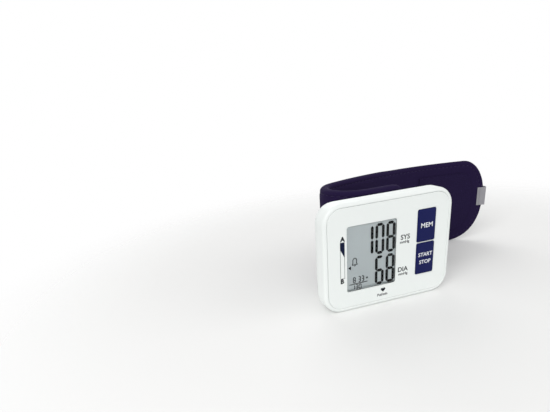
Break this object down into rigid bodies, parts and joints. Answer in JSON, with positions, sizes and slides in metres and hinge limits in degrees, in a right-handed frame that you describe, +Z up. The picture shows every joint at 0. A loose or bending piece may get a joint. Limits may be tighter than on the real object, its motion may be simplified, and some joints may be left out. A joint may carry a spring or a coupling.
{
  "type": "wrist blood pressure monitor",
  "caption": "Wrist blood pressure monitor: white moulded case with display and press keys on a padded, curled cuff that ends in a free D-shaped tail with a pull tab.",
  "frame": {"origin": "under the middle of the bounding box, on the surface that the case and the cuff's edge stand on", "axes": "+X to the right as the display is read, +Y away from the reader, from the display to the cuff, +Z up along the cuff width"},
  "size_m": [0.1678, 0.0802, 0.064],
  "materials": {
    "white_plastic": "satin white moulded ABS",
    "navy_plastic": "satin navy moulded ABS",
    "clear_plastic": "clear moulded acrylic",
    "display_glass": "grey liquid crystal cell",
    "grey_plastic": "plain grey moulding",
    "black_plastic": "plain black moulding",
    "black_rubber": "matt",
    "board_laminate": "green solder mask",
    "steel": "plated",
    "cell_can": "printed sleeve",
    "silicone": "translucent tube",
    "air_film": "welded film",
    "dark_cloth": "brushed knit",
    "dark_hook": "hook tape",
    "grey_ribbon": "woven ribbon"
  },
  "bodies": {
    "monitor": {"front_case": "white_plastic", "face_plate": "white_plastic", "rear_case": "white_plastic", "display_lens": "clear_plastic", "lcd_panel": "display_glass", "lcd_frame": "black_plastic", "display_connector": "black_rubber", "main_board": "board_laminate", "mem_switch": "black_plastic", "start_stop_switch": "black_plastic", "case_screw_lower": "steel", "case_screw_upper": "steel", "battery_holder": "grey_plastic", "battery_cell_inner": "cell_can", "battery_cell_outer": "cell_can", "battery_bridge": "steel", "battery_contact_inner": "steel", "battery_contact_outer": "steel", "pump_motor": "steel", "pump_head": "black_plastic", "air_tee": "grey_plastic", "release_valve": "steel", "pressure_sensor": "black_plastic", "buzzer": "black_plastic", "pump_tube": "silicone", "valve_tube": "silicone", "sensor_tube": "silicone", "cuff_tube": "silicone", "cuff_cover": "dark_cloth", "cuff_former": "grey_plastic", "cuff_bladder": "air_film", "cuff_lining": "dark_cloth", "bladder_port": "black_plastic", "cuff_screw_lower": "steel", "cuff_screw_upper": "steel"},
    "mem_button": {"mem_button": "navy_plastic"},
    "start_stop_button": {"start_stop_button": "navy_plastic"},
    "battery_cover": {"battery_cover": "white_plastic"},
    "cuff_tail": {"cuff_tail": "dark_cloth", "hook_patch": "dark_hook", "pull_tab": "grey_ribbon"}
  },
  "joints": [
    {"name": "mem_press", "type": "slide", "parent": "monitor", "child": "mem_button", "axis": [0, 1, 0], "range_m": [0, 0.0006], "stiffness_N_per_m": 2500},
    {"name": "start_stop_press", "type": "slide", "parent": "monitor", "child": "start_stop_button", "axis": [0, 1, 0], "range_m": [0, 0.0006], "stiffness_N_per_m": 2500},
    {"name": "battery_cover_pull", "type": "slide", "parent": "monitor", "child": "battery_cover", "axis": [1, 0, 0], "range_m": [0, 0.012]},
    {"name": "tail_bend", "type": "hinge", "parent": "monitor", "child": "cuff_tail", "pos_m": [0.0071, 0.03604, 0.031], "axis": [0, 0, -1], "range_deg": [-25, 65]}
  ]
}
